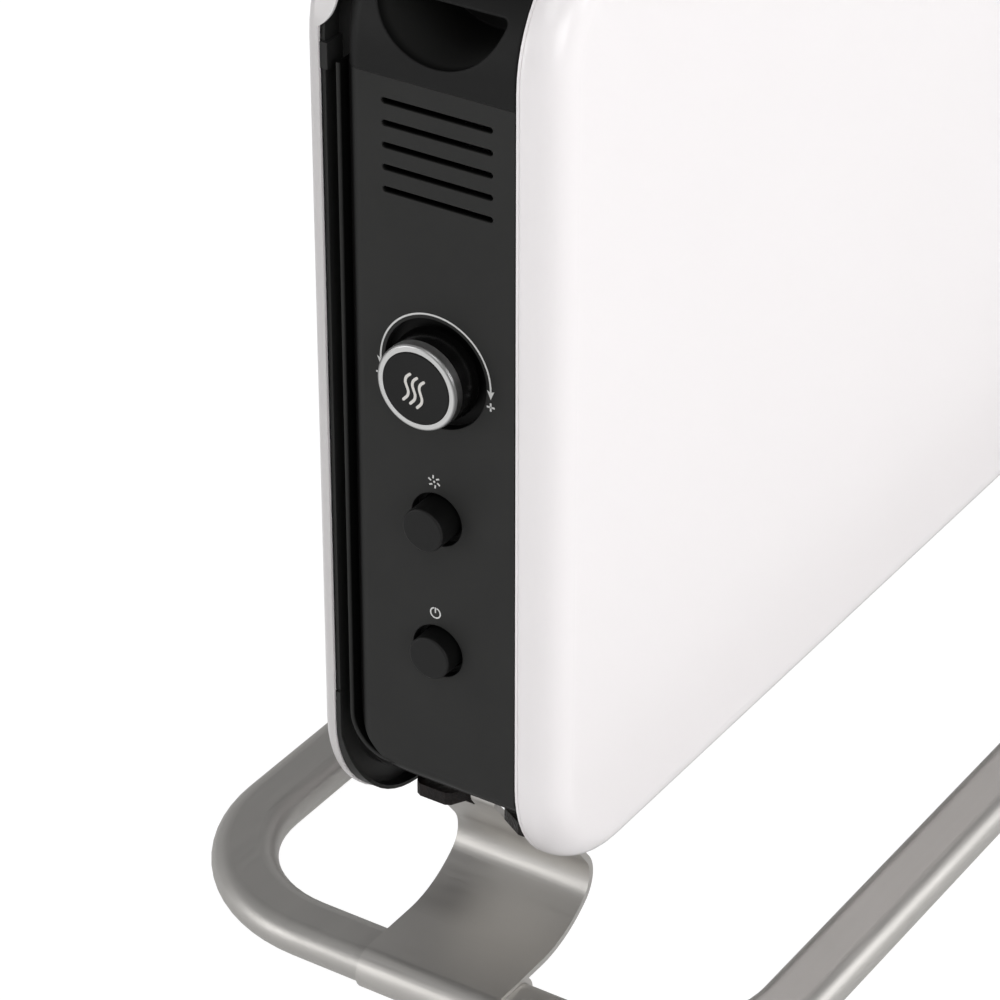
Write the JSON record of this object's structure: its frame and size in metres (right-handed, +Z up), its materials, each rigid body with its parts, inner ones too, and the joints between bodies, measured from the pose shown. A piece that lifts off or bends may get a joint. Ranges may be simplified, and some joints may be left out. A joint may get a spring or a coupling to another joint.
{
  "type": "convector heater",
  "caption": "Portable convector heater: white panels on a black core, end controls with knob and push buttons, bare steel legs on a foot loop.",
  "frame": {"origin": "on the floor, in the middle of the foot loop", "axes": "+X along the heater, away from the end with the controls; +Y to the back; +Z up"},
  "size_m": [0.8544, 0.27, 0.441],
  "materials": {
    "white_enamel": "smooth satin gloss stoved enamel",
    "black_plastic": "fine matte grain",
    "black_steel": "matte powder coat",
    "galvanised_steel": "dull galvanised",
    "element_aluminium": "mill finish",
    "plain_steel": "smooth ground",
    "ceramic": "unglazed ceramic",
    "knob_black": "glossy skirt with a matte disc",
    "satin_silver": "satin plated",
    "button_black": "smooth matte",
    "grey_plastic": "plain moulded",
    "motor_steel": "black oxide",
    "brushed_steel": "fine brushed satin",
    "thumbscrew_brown": "dark brown moulded",
    "pad_rubber": "matte",
    "screw_zinc": "zinc plated"
  },
  "bodies": {
    "heater": {"front_panel": "white_enamel", "rear_panel": "white_enamel", "rear_frame": "black_plastic", "left_end_cap": "black_plastic", "right_end_cap": "black_plastic", "left_handle": "black_plastic", "right_handle": "black_plastic", "top_grille": "black_plastic", "base_tray": "black_steel", "left_partition": "galvanised_steel", "right_partition": "galvanised_steel", "front_baffle": "galvanised_steel", "heating_element": "element_aluminium", "element_sheath": "plain_steel", "element_bushes": "ceramic", "thermostat_body": "grey_plastic", "control_bracket": "galvanised_steel", "fan_switch": "grey_plastic", "power_switch": "grey_plastic", "fan_motor": "motor_steel", "fan_housing": "galvanised_steel", "overheat_cutout": "grey_plastic", "tilt_switch": "grey_plastic", "terminal_block": "ceramic", "cord_gland": "black_plastic", "front_foot_tube": "brushed_steel", "rear_foot_tube": "brushed_steel", "left_leg": "brushed_steel", "right_leg": "brushed_steel", "leg_thumbscrews": "thumbscrew_brown", "foot_pads": "pad_rubber", "rear_screws": "screw_zinc"},
    "knob": {"thermostat_knob": "knob_black", "knob_ring": "satin_silver", "thermostat_shaft": "plain_steel"},
    "fan_key": {"fan_button": "button_black"},
    "power_key": {"power_button": "button_black"},
    "fan_rotor": {"fan_impeller": "element_aluminium", "fan_shaft": "plain_steel"}
  },
  "joints": [
    {"name": "knob_turn", "type": "hinge", "parent": "heater", "child": "knob", "pos_m": [-0.41, 0, 0.2746], "axis": [1, 0, 0], "range_deg": [-135, 135]},
    {"name": "fan_press", "type": "slide", "parent": "heater", "child": "fan_key", "axis": [1, 0, 0], "range_m": [0, 0.0042], "stiffness_N_per_m": 400, "springref_m": -0.004},
    {"name": "power_release", "type": "slide", "parent": "heater", "child": "power_key", "axis": [1, 0, 0], "range_m": [-0.0032, 0]},
    {"name": "fan_spin", "type": "hinge", "parent": "heater", "child": "fan_rotor", "pos_m": [0, 0.002, 0.107], "axis": [1, 0, 0], "continuous": true}
  ]
}
